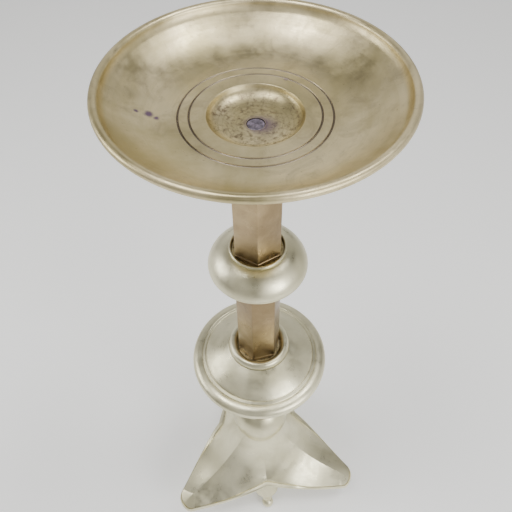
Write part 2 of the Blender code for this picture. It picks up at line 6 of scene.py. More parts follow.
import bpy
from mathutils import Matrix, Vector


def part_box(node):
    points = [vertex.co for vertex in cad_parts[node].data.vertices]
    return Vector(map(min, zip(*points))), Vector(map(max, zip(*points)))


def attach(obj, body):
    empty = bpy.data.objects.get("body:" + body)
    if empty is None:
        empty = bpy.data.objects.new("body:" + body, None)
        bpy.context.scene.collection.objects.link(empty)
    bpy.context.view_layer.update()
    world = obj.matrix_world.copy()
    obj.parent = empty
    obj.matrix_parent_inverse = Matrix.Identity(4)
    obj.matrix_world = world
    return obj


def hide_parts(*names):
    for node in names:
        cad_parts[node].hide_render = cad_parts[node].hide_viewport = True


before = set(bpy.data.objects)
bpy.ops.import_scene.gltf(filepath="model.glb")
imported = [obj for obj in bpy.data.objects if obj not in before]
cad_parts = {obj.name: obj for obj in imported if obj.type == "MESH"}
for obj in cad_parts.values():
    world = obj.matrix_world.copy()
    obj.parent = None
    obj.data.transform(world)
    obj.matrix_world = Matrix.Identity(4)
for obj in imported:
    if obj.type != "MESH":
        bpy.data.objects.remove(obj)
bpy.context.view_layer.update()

import logging
import math
from dataclasses import dataclass, field
from enum import Enum

import bpy
from mathutils import Matrix, Vector

Point = tuple[float, float]
Place = Row = Colour = tuple[float, float, float]
Piece = bpy.types.Object
Socket = bpy.types.NodeSocket
log = logging.getLogger("altar_candlestick")

BODY = "root"
FLOOR = -0.6310
GAP = 0.0003  # air between neighbouring pieces
STEM_SOCKET = 0.0219  # radius of the bores that take a stem
ROD_HOLE = 0.0058
AXIS_MERGE = 1e-6  # points closer than this become one
CUT_MERGE = 1e-7  # the same while a foot is trimmed
SEED_SIZE = 0.001  # plane that is merged into a profile's first point
PAN_STEPS = 192
LATHE_STEPS = 160
SMALL_STEPS = 72
FOOT_STEPS = 48
CREASE = math.radians(32.0)
RAMP_KEYS = ("From Min", "From Max", "To Min", "To Max")
MIX_FIRST, MIX_SECOND, MIX_RESULT = 6, 7, 2  # colour sockets of a Mix node


class Slot(Enum):
    """The record's material slots."""

    AGED = "aged_brass"
    PALE = "pale_brass"
    BRONZE = "brown_bronze"
    IRON = "dark_iron"


# -------------------- modelling by hand
def deselect() -> None:
    """Leave no object selected and none in edit mode."""
    if bpy.context.object and bpy.context.object.mode != "OBJECT":
        bpy.ops.object.mode_set(mode="OBJECT")
    bpy.ops.object.select_all(action="DESELECT")


def pick(obj: Piece) -> None:
    """Make a piece the only selected one, and the active one.

    Args:
        obj: the piece.
    """
    deselect()
    obj.select_set(True)
    bpy.context.view_layer.objects.active = obj


def open_mesh() -> None:
    """Edit the active piece with all of its mesh selected."""
    bpy.ops.object.mode_set(mode="EDIT")
    bpy.ops.mesh.select_all(action="SELECT")


def close_mesh() -> None:
    """Leave edit mode."""
    bpy.ops.object.mode_set(mode="OBJECT")


def named(name: str) -> Piece:
    """Name the piece just added and its mesh, and return it.

    Args:
        name: the piece's name.
    Returns:
        The active object.
    """
    obj = bpy.context.object
    obj.name = name
    obj.data.name = name
    return obj


def settle(obj: Piece, crease: float = CREASE) -> Piece:
    """Put a piece's place into its mesh and shade it smooth up to a crease angle.

    Args:
        obj: the piece.
        crease: edges bent by more than this stay crisp, in radians.
    Returns:
        The same piece.
    """
    pick(obj)
    bpy.ops.object.transform_apply(location=True, rotation=True, scale=True)
    bpy.ops.object.shade_smooth_by_angle(angle=crease)
    return obj


def lathe(name: str, profile: list[Point], steps: int = LATHE_STEPS, closed: bool = True) -> Piece:
    """Draw a profile by extruding one vertex, then spin it about the axis.

    Args:
        name: the piece's name.
        profile: (r, z) points, in order round the section.
        steps: copies round the axis.
        closed: whether the last point joins the first.
    Returns:
        The turned piece.
    """
    deselect()
    bpy.ops.mesh.primitive_plane_add(size=SEED_SIZE)
    obj = named(name)
    open_mesh()
    bpy.ops.mesh.merge(type="CENTER")
    start_r, start_z = profile[0]
    bpy.ops.transform.translate(value=(start_r, 0.0, start_z))
    line = profile[1:] + ([profile[0]] if closed else [])
    before = profile[0]
    for r, z in line:
        shift = (r - before[0], 0.0, z - before[1])
        bpy.ops.mesh.extrude_region_move(TRANSFORM_OT_translate={"value": shift})
        before = (r, z)
    bpy.ops.mesh.select_all(action="SELECT")
    bpy.ops.mesh.remove_doubles(threshold=AXIS_MERGE)
    bpy.ops.mesh.spin(steps=steps, angle=math.tau, center=(0.0, 0.0, 0.0), axis=(0.0, 0.0, 1.0))
    bpy.ops.mesh.select_all(action="SELECT")
    bpy.ops.mesh.remove_doubles(threshold=AXIS_MERGE)
    bpy.ops.mesh.normals_make_consistent(inside=False)
    close_mesh()
    return settle(obj)


def arc(centre: Point, radii: Point, start: float, end: float, count: int) -> list[Point]:
    """Points of an elliptical arc.

    Args:
        centre: its middle, as (r, z).
        radii: along r and along z.
        start: first angle in degrees, 0 outwards and 90 up.
        end: last angle in degrees.
        count: number of steps.
    Returns:
        The points from start to end.
    """
    points = []
    for i in range(count + 1):
        angle = math.radians(start + (end - start) * i / count)
        points.append((centre[0] + radii[0] * math.cos(angle), centre[1] + radii[1] * math.sin(angle)))
    return points


def half_shell(equator: float, bottom: float, radius: float, wall: float, counts: tuple[int, int]) -> list[Point]:
    """Section of a knop's lower shell, round the stem's bore.

    Args:
        equator: height of the knop's middle.
        bottom: its lowest height.
        radius: its outer radius.
        wall: its thickness.
        counts: steps of the outer and of the inner side.
    Returns:
        The outer side downwards, then the inner side upwards.
    """
    seam = equator - GAP
    reach, drop = radius - STEM_SOCKET, seam - bottom
    outer = arc((STEM_SOCKET, seam), (reach, drop), 0.0, -90.0, counts[0])
    return outer + arc((STEM_SOCKET, seam), (reach - wall, drop - wall), -90.0, 0.0, counts[1])


def between(start: float, end: float, count: int) -> list[float]:
    """Evenly spaced values strictly between two others.

    Args:
        start: the value before the first.
        end: the value after the last.
        count: number of steps from start to end.
    Returns:
        The values.
    """
    return [start + (end - start) * i / count for i in range(1, count)]


def smooth(value: float, low: float, high: float) -> float:
    """Smooth step.

    Args:
        value: the value to test.
        low: where the step starts.
        high: where it ends.
    Returns:
        0 at low, 1 at high.
    """
    part = min(max((value - low) / (high - low), 0.0), 1.0)
    return part * part * (3.0 - 2.0 * part)


# -------------------- finishes
@dataclass(frozen=True)
class Grain:
    """How one noise texture looks."""

    scale: float
    detail: float
    rough: float
    warp: float = 0.0


@dataclass(frozen=True)
class Relief:
    """How strongly a texture bends the surface, and its height."""

    strength: float
    height: float


@dataclass(frozen=True)
class Stain:
    """A ragged round stain in plan."""

    x: float
    y: float
    size: float
    amount: float


TONES = Grain(14.0, 5.0, 0.6, 0.4)
CLOUDS = Grain(48.0, 8.0, 0.72, 0.8)
SPECKS = Grain(520.0, 3.0, 0.6)
SMEARS = Grain(60.0, 6.0, 0.7)
LATHE_LINES = Grain(1.0, 3.0, 0.7)
PITS = Grain(900.0, 4.0, 0.6)
DENTS = Grain(22.0, 2.0, 0.5)
RAGGED_EDGE = Grain(260.0, 5.0, 0.65)
TURNED_BANDS = Grain(1.0, 3.0, 0.6)
MOTTLE = Grain(240.0, 7.0, 0.75, 0.5)
BLOOM = Grain(300.0, 7.0, 0.7, 0.6)
SCALE_PITS = Grain(700.0, 6.0, 0.7)


class Graph:
    """Short hand for a material's nodes."""

    rub_highlight_reach = 0.0012  # how far from an edge the metal is painted bright, partly as rubbed wear and partly as painted highlight
    rub_highlight_samples = 4
    rub_highlight_range = (0.995, 0.90)  # agreement of bevelled and true normal, from no brightening to full rubbed wear and painted highlight
    spot_ragged = 0.70  # unevenness of a stain's edge, in stain sizes
    spot_core = 0.25  # share of a stain that is full

    def __init__(self, name: str) -> None:
        """Start an empty material.

        Args:
            name: the material's name.
        """
        self.material = bpy.data.materials.new(name)
        self.material.use_nodes = True
        self.tree = self.material.node_tree
        self.shader = self.tree.nodes["Principled BSDF"]
        self.place = self.tree.nodes.new("ShaderNodeTexCoord").outputs["Object"]

    def link(self, source: Socket, target: Socket) -> None:
        """Join an output, source, to an input, target."""
        self.tree.links.new(source, target)

    def put(self, value, target: Socket) -> None:
        """Set an input to a number or colour, or link it to an output.

        Args:
            value: a number, a tuple or an output.
            target: the input.
        """
        if isinstance(value, (int, float)):
            target.default_value = value
        elif isinstance(value, tuple):
            target.default_value = (*value, 1.0) if len(target.default_value) == 4 else value
        else:
            self.link(value, target)

    def math(self, operation: str, first, second=0.0) -> Socket:
        """Return the result of a Math node's operation on two numbers or outputs."""
        node = self.tree.nodes.new("ShaderNodeMath")
        node.operation = operation
        self.put(first, node.inputs[0])
        self.put(second, node.inputs[1])
        return node.outputs[0]

    def product(self, first, second) -> Socket:
        """Return the product of two numbers or outputs."""
        return self.math("MULTIPLY", first, second)

    def length(self, x: Socket, y: Socket) -> Socket:
        """Return the length of the flat vector (x, y)."""
        return self.math("SQRT", self.math("ADD", self.product(x, x), self.product(y, y)))

    def noise(self, grain: Grain, vector: Socket | None = None) -> Socket:
        """Spread a noise texture over the piece.

        Args:
            grain: how it looks.
            vector: where it is read, if not at the piece's own points.
        Returns:
            The factor's output.
        """
        node = self.tree.nodes.new("ShaderNodeTexNoise")
        node.inputs["Scale"].default_value = grain.scale
        node.inputs["Detail"].default_value = grain.detail
        node.inputs["Roughness"].default_value = grain.rough
        node.inputs["Distortion"].default_value = grain.warp
        self.link(vector or self.place, node.inputs["Vector"])
        return node.outputs["Fac"]

    def step(self, value: Socket, span: Point, result: Point = (0.0, 1.0)) -> Socket:
        """Take a value smoothly from one range to another.

        Args:
            value: the value's output.
            span: where the step starts and ends.
            result: what it gives there.
        Returns:
            The result's output.
        """
        node = self.tree.nodes.new("ShaderNodeMapRange")
        node.interpolation_type = "SMOOTHSTEP"
        for key, number in zip(RAMP_KEYS, (*span, *result)):
            node.inputs[key].default_value = number
        self.put(value, node.inputs["Value"])
        return node.outputs["Result"]

    def mix(self, factor, first, second) -> Socket:
        """Mix two colours.

        Args:
            factor: share of the second.
            first: a colour or an output.
            second: the same.
        Returns:
            The mixed colour's output.
        """
        node = self.tree.nodes.new("ShaderNodeMix")
        node.data_type = "RGBA"
        self.put(factor, node.inputs["Factor"])
        self.put(first, node.inputs[MIX_FIRST])
        self.put(second, node.inputs[MIX_SECOND])
        return node.outputs[MIX_RESULT]

    def split(self):
        """Return the outputs of the place's X, Y and Z."""
        node = self.tree.nodes.new("ShaderNodeSeparateXYZ")
        self.link(self.place, node.inputs[0])
        return node.outputs

    def combine(self, x, y, z) -> Socket:
        """Return a vector of three numbers or outputs."""
        node = self.tree.nodes.new("ShaderNodeCombineXYZ")
        for value, target in zip((x, y, z), node.inputs):
            self.put(value, target)
        return node.outputs[0]

    def radius(self) -> Socket:
        """Return the output of the distance from the candlestick's axis."""
        x, y, _ = self.split()
        return self.length(x, y)

    def turning_marks(self, density: float) -> Socket:
        """Draw fine lathe lines: noise that only changes along the profile.

        Args:
            density: lines per metre, roughly.
        Returns:
            The lines' output.
        """
        z = self.split()[2]
        along = self.combine(self.product(self.radius(), density), self.product(z, density), 0.0)
        return self.noise(LATHE_LINES, along)

    def spot(self, stain: Stain) -> Socket:
        """Draw one stain in plan.

        Args:
            stain: its place and size.
        Returns:
            An output that is 1 in the stain and fades raggedly to 0 at its size.
        """
        px, py, _ = self.split()
        away = self.length(self.math("SUBTRACT", px, stain.x), self.math("SUBTRACT", py, stain.y))
        uneven = self.math("SUBTRACT", self.noise(RAGGED_EDGE), 0.5)
        ragged = self.product(uneven, stain.size * self.spot_ragged)
        return self.step(self.math("ADD", away, ragged), (stain.size, stain.size * self.spot_core))

    def bump(self, texture: Socket, relief: Relief, below: Socket | None = None) -> Socket:
        """Bend the surface by a texture.

        Args:
            texture: the texture's output.
            relief: how strongly.
            below: a normal that is bent already.
        Returns:
            The new normal's output.
        """
        node = self.tree.nodes.new("ShaderNodeBump")
        node.inputs["Strength"].default_value = relief.strength
        node.inputs["Distance"].default_value = relief.height
        self.put(texture, node.inputs["Height"])
        if below is not None:
            self.link(below, node.inputs["Normal"])
        return node.outputs["Normal"]

    def rubbed_edge_highlight(self) -> Socket:
        """Return an output that is 1 on sharp edges, where bevelled and true normals differ: rubbed wear that also
        serves as a painted highlight.
        """
        node = self.tree.nodes.new("ShaderNodeBevel")
        node.samples = self.rub_highlight_samples
        node.inputs["Radius"].default_value = self.rub_highlight_reach
        geometry = self.tree.nodes.new("ShaderNodeNewGeometry")
        dot = self.tree.nodes.new("ShaderNodeVectorMath")
        dot.operation = "DOT_PRODUCT"
        self.link(node.outputs[0], dot.inputs[0])
        self.link(geometry.outputs["Normal"], dot.inputs[1])
        return self.step(dot.outputs["Value"], self.rub_highlight_range)


@dataclass(frozen=True)
class BrassFinish:
    """A brass with wear: two tones, tarnish, lathe lines and bright edges, partly rubbed wear and partly painted
    highlight.
    """

    name: str
    bright: Colour
    deep: Colour
    tarnish: Colour
    tarnish_share: float
    roughness: float
    marks: Relief = Relief(0.25, 0.00012)
    pits: Relief = Relief(0.3, 0.00010)
    dents: Relief = Relief(0.35, 0.0009)
    mark_density: float = 1800.0
    mark_span: Point = (0.35, 0.65)
    mark_gloss: Point = (-0.03, 0.03)
    tone_span: Point = (0.35, 0.68)
    patch_level: float = 0.78
    patch_fall: float = 0.5
    patch_span: Point = (-0.12, 0.16)
    speck_span: Point = (0.66, 0.74)
    speck_amount: float = 0.45
    smear_span: Point = (0.3, 0.7)
    smear_gloss: Point = (-0.07, 0.10)
    # share of bright metal painted on sharp edges: rubbed wear and painted highlight
    rub_highlight_amount: float = 0.5

    def paint(self, graph: Graph) -> Socket:
        """Return the metal's colour.

        Args:
            graph: the material's nodes.
        Returns:
            The colour output.
        """
        colour = graph.mix(graph.step(graph.noise(TONES), self.tone_span), self.deep, self.bright)
        low = self.patch_level - self.tarnish_share * self.patch_fall
        patch = graph.step(graph.noise(CLOUDS), (low + self.patch_span[0], low + self.patch_span[1]))
        colour = graph.mix(graph.product(patch, self.tarnish_share), colour, self.tarnish)
        specks = graph.step(graph.noise(SPECKS), self.speck_span)
        return graph.mix(graph.product(specks, self.speck_amount), colour, self.tarnish)

    def dress(self, graph: Graph, colour: Socket) -> bpy.types.Material:
        """Wire colour, roughness and relief into the shader.

        Args:
            graph: the material's nodes.
            colour: the metal's colour output.
        Returns:
            The finished material.
        """
        # sharp edges painted bright: rubbed wear, and a painted highlight such as the line along the rim
        rub_and_highlight = graph.product(graph.rubbed_edge_highlight(), self.rub_highlight_amount)
        graph.link(graph.mix(rub_and_highlight, colour, self.bright), graph.shader.inputs["Base Color"])
        graph.shader.inputs["Metallic"].default_value = 1.0
        marks = graph.turning_marks(self.mark_density)
        dull, polished = self.roughness + self.smear_gloss[1], self.roughness + self.smear_gloss[0]
        smears = graph.step(graph.noise(SMEARS), self.smear_span, (polished, dull))
        rough = graph.math("ADD", smears, graph.step(marks, self.mark_span, self.mark_gloss))
        graph.link(rough, graph.shader.inputs["Roughness"])
        normal = graph.bump(marks, self.marks)
        normal = graph.bump(graph.noise(PITS), self.pits, normal)
        normal = graph.bump(graph.noise(DENTS), self.dents, normal)
        graph.link(normal, graph.shader.inputs["Normal"])
        return graph.material

    def make(self) -> bpy.types.Material:
        """Build the material."""
        graph = Graph(self.name)
        return self.dress(graph, self.paint(graph))


@dataclass(frozen=True)
class PanFinish(BrassFinish):
    """The pan's brass, with stains of candle and rod, and tarnish gathered in the recess."""

    violet: Colour = (0.13, 0.075, 0.17)
    soot: Colour = (0.075, 0.055, 0.085)
    grooves: Point = (0.0426, 0.0497)
    groove_reach: float = 0.00125
    recess_radius: float = 0.0318
    recess_fade: float = 0.0040
    band_density: float = 260.0
    band_span: Point = (0.45, 0.75)
    band_amount: float = 0.35
    mottle_span: Point = (0.46, 0.66)
    mottle_amount: float = 0.95
    ring_density: float = 2100.0
    ring_span: Point = (0.2, 1.0)
    ring_amount: float = 0.18
    stains: tuple[Stain, ...] = ()

    def paint(self, graph: Graph) -> Socket:
        """Return the pan's colour with its grooves, recess and stains, as above."""
        colour = super().paint(graph)
        radius = graph.radius()
        across = graph.combine(graph.product(radius, self.band_density), 0.0, 0.0)
        bands = graph.step(graph.noise(TURNED_BANDS, across), self.band_span, (0.0, self.band_amount))
        colour = graph.mix(bands, colour, self.deep)
        for edge in self.grooves:
            away = graph.math("ABSOLUTE", graph.math("SUBTRACT", radius, edge))
            colour = graph.mix(graph.step(away, (self.groove_reach, 0.0)), colour, self.soot)
        inside = graph.step(radius, (self.recess_radius, self.recess_radius - self.recess_fade))
        mottle = graph.product(inside, graph.step(graph.noise(MOTTLE), self.mottle_span))
        colour = graph.mix(graph.product(mottle, self.mottle_amount), colour, self.tarnish)
        wave = graph.math("SINE", graph.product(radius, self.ring_density))
        rings = graph.step(wave, self.ring_span, (0.0, self.ring_amount))
        colour = graph.mix(graph.product(inside, rings), colour, self.tarnish)
        for stain in self.stains:
            colour = graph.mix(graph.product(graph.spot(stain), stain.amount), colour, self.violet)
        return colour


@dataclass(frozen=True)
class IronFinish:
    """Dark oxidised iron with a violet bloom."""

    name: str
    dark: Colour
    bloom: Colour
    roughness: float
    roughness_spread: float = 0.1
    metallic: float = 0.75
    bloom_span: Point = (0.38, 0.66)
    pits: Relief = Relief(0.6, 0.0002)

    def make(self) -> bpy.types.Material:
        """Build the material."""
        graph = Graph(self.name)
        cloud = graph.step(graph.noise(BLOOM), self.bloom_span)
        graph.link(graph.mix(cloud, self.dark, self.bloom), graph.shader.inputs["Base Color"])
        graph.shader.inputs["Metallic"].default_value = self.metallic
        limits = (self.roughness - self.roughness_spread, self.roughness + self.roughness_spread)
        graph.link(graph.step(cloud, (0.0, 1.0), limits), graph.shader.inputs["Roughness"])
        graph.link(graph.bump(graph.noise(SCALE_PITS), self.pits), graph.shader.inputs["Normal"])
        return graph.material


FINISHES = {
    Slot.AGED: PanFinish(
        "aged_brass_worn", bright=(0.73, 0.63, 0.39), deep=(0.47, 0.40, 0.21), tarnish=(0.17, 0.13, 0.085),
        tarnish_share=0.38, roughness=0.37,
        stains=(Stain(0.0, 0.0, 0.0098, 0.95), Stain(0.0050, -0.0020, 0.0130, 0.60),
                Stain(-0.0670, 0.0060, 0.0042, 0.90), Stain(-0.0625, 0.0030, 0.0026, 0.90),
                Stain(-0.0745, 0.0065, 0.0020, 0.85), Stain(0.0255, 0.0330, 0.0024, 0.60))),
    Slot.PALE: BrassFinish(
        "pale_brass_satin", bright=(0.82, 0.775, 0.56), deep=(0.61, 0.57, 0.38), tarnish=(0.32, 0.30, 0.21),
        tarnish_share=0.16, roughness=0.34),
    Slot.BRONZE: BrassFinish(
        "brown_bronze_polished", bright=(0.42, 0.315, 0.175), deep=(0.25, 0.18, 0.095),
        tarnish=(0.11, 0.075, 0.045), tarnish_share=0.35, roughness=0.33, marks=Relief(0.08, 0.00012)),
    Slot.IRON: IronFinish(
        "dark_iron_oxidised", dark=(0.10, 0.09, 0.11), bloom=(0.30, 0.25, 0.33), roughness=0.50),
}


@dataclass
class Workshop:
    """Dresses each piece and ties it to the frame."""

    materials: dict[Slot, bpy.types.Material] = field(default_factory=dict)

    def metal(self, slot: Slot) -> bpy.types.Material:
        """Return a slot's material, made on first use.

        Args:
            slot: the slot.
        Returns:
            Its material.
        """
        if slot not in self.materials:
            self.materials[slot] = FINISHES[slot].make()
        return self.materials[slot]

    def fit(self, piece: Piece, slot: Slot, *nodes: str) -> None:
        """Dress a new piece and let it stand for CAD nodes.

        Args:
            piece: the new piece.
            slot: its material slot.
            nodes: the nodes that it replaces.
        """
        piece.data.materials.clear()
        piece.data.materials.append(self.metal(slot))
        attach(piece, BODY)
        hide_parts(*nodes)
        log.info("%s stands for %s: %d faces", piece.name, ", ".join(nodes), len(piece.data.polygons))

    def keep(self, node: str, slot: Slot) -> None:
        """Give a CAD node that stays a better material.

        Args:
            node: the node's name.
            slot: its material slot.
        """
        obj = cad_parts[node]
        obj.data.materials.clear()
        obj.data.materials.append(self.metal(slot))
        log.info("%s kept", node)


# -------------------- sub-assemblies
@dataclass
class DripPan:
    """The dished pan with its rounded rim, two engraved grooves and candle recess, and its collar."""

    rim_radius: float = 0.1000
    rim_height: float = 0.0340
    bead: float = 0.0030
    rim_drop: float = 1.7  # bowl's edge below the rim, in bead radii
    wall: float = 0.0026
    bowl_foot: float = 0.0510
    bowl_power: float = 2.1  # how late the bowl turns up
    bowl_steps: int = 30
    under_steps: int = 25
    under_shift: float = 0.0009  # keeps the wall's thickness where the bowl is steep
    annulus: float = 0.0085
    grooves: Point = (0.0426, 0.0497)
    groove_half: float = 0.00075
    groove_depth: float = 0.0008
    groove_power: float = 0.8  # below 1 makes a groove's bottom broad
    groove_steps: int = 6
    recess: float = 0.0318
    recess_edge: float = 0.0006  # worn edge of the recess
    edge_round: Point = (0.0009, 0.0006)
    seat: float = 0.0150
    seat_flat: float = 0.8  # share of the seat that is quite flat
    rod_head: float = 0.0060
    cup_steps: tuple[Point, Point] = ((0.0010, 0.0012), (0.0060, -0.0024))
    cup_foot: float = -0.0032
    cup_spread: float = 0.0080  # cup's flat foot beyond the seat
    collar_radius: float = 0.0280
    collar_top: float = -0.0035
    collar_bottom: float = -0.0190
    collar_band: float = 0.0025  # upright band at the collar's top
    collar_cove: Point = (0.0062, 0.0032)  # hollow under it: depth of its middle, and its radius
    collar_step: float = 0.0015
    collar_foot: float = 0.0040
    socket_depth: float = 0.0032

    @property
    def bowl_edge(self) -> float:
        """Return the radius where the bowl meets the rim's bead."""
        return self.rim_radius - 2.0 * self.bead

    def bowl(self, r: float) -> float:
        """Return the height of the bowl's upper surface.

        Args:
            r: the radius.
        Returns:
            The height there.
        """
        rise = self.rim_height - self.rim_drop * self.bead - self.annulus
        part = max((r - self.bowl_foot) / (self.bowl_edge - self.bowl_foot), 0.0)
        return self.annulus + rise * part ** self.bowl_power

    def groove(self, r: float) -> list[Point]:
        """Return a round-bottomed groove, from its inner edge outwards.

        Args:
            r: the groove's radius.
        Returns:
            Its points.
        """
        points = []
        for i in range(self.groove_steps + 1):
            part = i / self.groove_steps
            depth = self.groove_depth * math.sin(math.pi * part) ** self.groove_power
            points.append((r + self.groove_half * (2.0 * part - 1.0), self.annulus - depth))
        return points

    def upper_side(self) -> list[Point]:
        """Return the upper side from the rod's hole outwards to the bowl's edge."""
        reach = self.recess - self.seat - self.recess_edge
        points = [(self.rod_head + GAP, 0.0), (self.seat * self.seat_flat, 0.0)]
        points += arc((self.seat, self.annulus), (reach, self.annulus), -90.0, -9.0, 14)
        edge = (self.recess + self.recess_edge, self.annulus - self.recess_edge)
        points += arc(edge, self.edge_round, 170.0, 90.0, 4)
        for r in self.grooves:
            points += self.groove(r)
        return points + [(r, self.bowl(r)) for r in between(self.bowl_foot, self.bowl_edge, self.bowl_steps)]

    def under_side(self) -> list[Point]:
        """Return the underside from the rim inwards, with the cup under the recess."""
        points = [(r + self.under_shift, self.bowl(r) - self.wall)
                  for r in between(self.bowl_edge, self.bowl_foot, self.under_steps)]
        cup = self.recess + self.wall
        points += [(self.bowl_foot, self.annulus - self.wall), (cup, self.annulus - self.wall)]
        points += [(cup - inset, height) for inset, height in self.cup_steps]
        return points + [(self.seat + self.cup_spread, self.cup_foot), (self.rod_head + GAP, self.cup_foot)]

    def collar(self) -> list[Point]:
        """Return the section of the turned collar that carries the pan."""
        depth, cove = self.collar_cove
        lower = self.collar_radius - self.collar_step
        socket = self.collar_bottom + self.socket_depth
        points = [(ROD_HOLE, self.collar_top), (self.collar_radius, self.collar_top),
                  (self.collar_radius, self.collar_top - self.collar_band)]
        points += arc((self.collar_radius, self.collar_top - depth), (cove, cove), 110.0, 250.0, 14)
        return points + [(lower, self.collar_bottom + self.collar_foot), (lower, self.collar_bottom),
                         (STEM_SOCKET, self.collar_bottom), (STEM_SOCKET, socket), (ROD_HOLE, socket)]

    def build(self, shop: Workshop) -> None:
        """Turn the pan and its collar.

        Args:
            shop: dresses the pieces.
        """
        bead_middle = (self.rim_radius - self.bead, self.rim_height - self.bead)
        rim = arc(bead_middle, (self.bead, self.bead), 178.0, -92.0, 22)
        pan = lathe("pan_dish", self.upper_side() + rim + self.under_side(), PAN_STEPS)
        shop.fit(pan, Slot.AGED, "drip_pan")
        shop.fit(lathe("pan_socket_collar", self.collar(), SMALL_STEPS), Slot.PALE, "pan_collar")


@dataclass
class Stem:
    """A hexagonal stem with softened corners, and the plate that shows as a strip at its foot."""

    node: str
    turn: float
    radius: float = 0.0214
    plate: float = 0.0034
    corner: float = 0.0007
    corner_limit: float = 0.3  # of a prism's height

    def prism(self, name: str, top: float, bottom: float) -> Piece:
        """Model a hexagonal prism and round its edges.

        Args:
            name: the piece's name.
            top: its top height.
            bottom: its bottom height.
        Returns:
            The prism.
        """
        deselect()
        turn = math.radians(self.turn) - math.pi / 2.0
        bpy.ops.mesh.primitive_cylinder_add(vertices=6, radius=self.radius, depth=top - bottom,
                                            location=(0.0, 0.0, (top + bottom) / 2.0), rotation=(0.0, 0.0, turn))
        obj = named(name)
        bpy.ops.object.transform_apply(location=True, rotation=True, scale=True)
        open_mesh()
        bpy.ops.mesh.bevel(offset=min(self.corner, (top - bottom) * self.corner_limit), segments=3, affect="EDGES")
        close_mesh()
        return settle(obj)

    def build(self, shop: Workshop) -> None:
        """Model the tube and its end plate.

        Args:
            shop: dresses the pieces.
        """
        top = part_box(self.node)[1].z
        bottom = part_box(self.node + "_end_plate")[0].z
        plate_top = bottom + self.plate
        shop.fit(self.prism(self.node + "_tube", top, plate_top + GAP), Slot.BRONZE, self.node)
        shop.fit(self.prism(self.node + "_foot", plate_top, bottom), Slot.BRONZE, self.node + "_end_plate")


@dataclass
class UpperKnop:
    """The oblate knop with its raised lip."""

    lip: float = -0.1235
    equator: float = -0.1450
    bottom: float = -0.1565
    radius: float = 0.0426
    lip_radius: float = 0.0241
    shoulder: float = 0.0024  # where the shell starts, below the lip
    power: float = 1.25  # how square the shell's curve is
    steps: int = 32
    throat: float = 0.0060  # depth of the socket's wall
    throat_slope: Point = (0.0030, 0.0062)
    wall: float = 0.0022

    def crown(self) -> list[Point]:
        """Return the section of the lipped upper shell."""
        half = (self.lip_radius - STEM_SOCKET) / 2.0
        points = arc((STEM_SOCKET + half, self.lip - half), (half, half), 180.0, 0.0, 10)
        depth = self.lip - self.shoulder - self.equator
        span = self.radius - self.lip_radius
        for i in range(self.steps + 1):
            angle = math.radians(90.0 * (1.0 - i / self.steps))
            points.append((self.lip_radius + span * max(math.cos(angle), 0.0) ** self.power,
                           self.equator + depth * max(math.sin(angle), 0.0) ** self.power))
        out, down = self.throat_slope
        return points + [(self.radius - self.wall, self.equator),
                         (self.radius - 3.0 * self.wall, self.equator + depth / 2.0),
                         (STEM_SOCKET + out, self.lip - down), (STEM_SOCKET, self.lip - self.throat)]

    def build(self, shop: Workshop) -> None:
        """Turn the two shells.

        Args:
            shop: dresses the pieces.
        """
        shop.fit(lathe("upper_knop_crown", self.crown()), Slot.PALE, "upper_knop_top")
        cup = half_shell(self.equator, self.bottom, self.radius, self.wall, (22, 8))
        shop.fit(lathe("upper_knop_cup", cup), Slot.PALE, "upper_knop_bottom")


@dataclass
class LowerKnop:
    """The wide knop: half-round collar, saucer top with two engraved lines, and bowl."""

    collar_top: float = -0.2800
    collar_bottom: float = -0.2868
    collar_radius: float = 0.0314
    top: float = -0.2862
    line_height: float = -0.3025
    equator: float = -0.3115
    bottom: float = -0.3350
    radius: float = 0.0714
    lines: Point = (0.0571, 0.0607)
    line_slope: float = 0.40  # fall of the band that carries the lines
    line_section: tuple[Point, ...] = ((-0.0006, 0.0), (-0.0003, 0.0005), (0.0, 0.0007), (0.0003, 0.0006),
                                       (0.0006, 0.0004))  # across a line, and down
    line_margin: Point = (0.0010, 0.0004)  # saucer's end inside the first line, and above it
    swell: float = 0.0010
    swell_steps: int = 12
    inner_drop: float = 2.2  # in walls, under the outer line
    wall: float = 0.0022

    def saucer(self) -> list[Point]:
        """Return the section of the saucer: outwards over its top and back under it."""
        shelf = self.collar_bottom - GAP
        margin, above = self.line_margin
        points = [(STEM_SOCKET, shelf), (self.collar_radius + GAP, shelf), (self.collar_radius + GAP, self.top)]
        start = Vector(points[-1])
        end = Vector((self.lines[0] - margin, self.line_height + above))
        for i in range(1, self.swell_steps + 1):
            part = i / self.swell_steps
            place = start.lerp(end, part)
            points.append((place.x, place.y + self.swell * math.sin(math.pi * part)))
        for r in self.lines:
            z = self.line_height - (r - self.lines[0]) * self.line_slope
            points += [(r + across, z - down) for across, down in self.line_section]
        r, z = points[-1]
        points += arc((r, self.equator), (self.radius - r, z - self.equator), 90.0, 0.0, 18)[1:]
        return points + [(self.radius - self.wall, self.equator),
                         (self.lines[1], self.line_height - self.inner_drop * self.wall),
                         (self.lines[0] - margin, self.line_height - self.wall),
                         (self.collar_radius, shelf - self.wall), (STEM_SOCKET, shelf - self.wall)]

    def build(self, shop: Workshop) -> None:
        """Turn the collar and the two shells.

        Args:
            shop: dresses the pieces.
        """
        half = (self.collar_radius - STEM_SOCKET) / 2.0
        height = self.collar_top - self.collar_bottom
        ring = arc((STEM_SOCKET + half, self.collar_bottom), (half, height), 180.0, 0.0, 20)
        shop.fit(lathe("lower_knop_ring", ring), Slot.PALE, "lower_knop_collar")
        shop.fit(lathe("lower_knop_saucer", self.saucer()), Slot.PALE, "lower_knop_top")
        basin = half_shell(self.equator, self.bottom, self.radius, self.wall, (30, 10))
        shop.fit(lathe("lower_knop_basin", basin), Slot.PALE, "lower_knop_bowl")


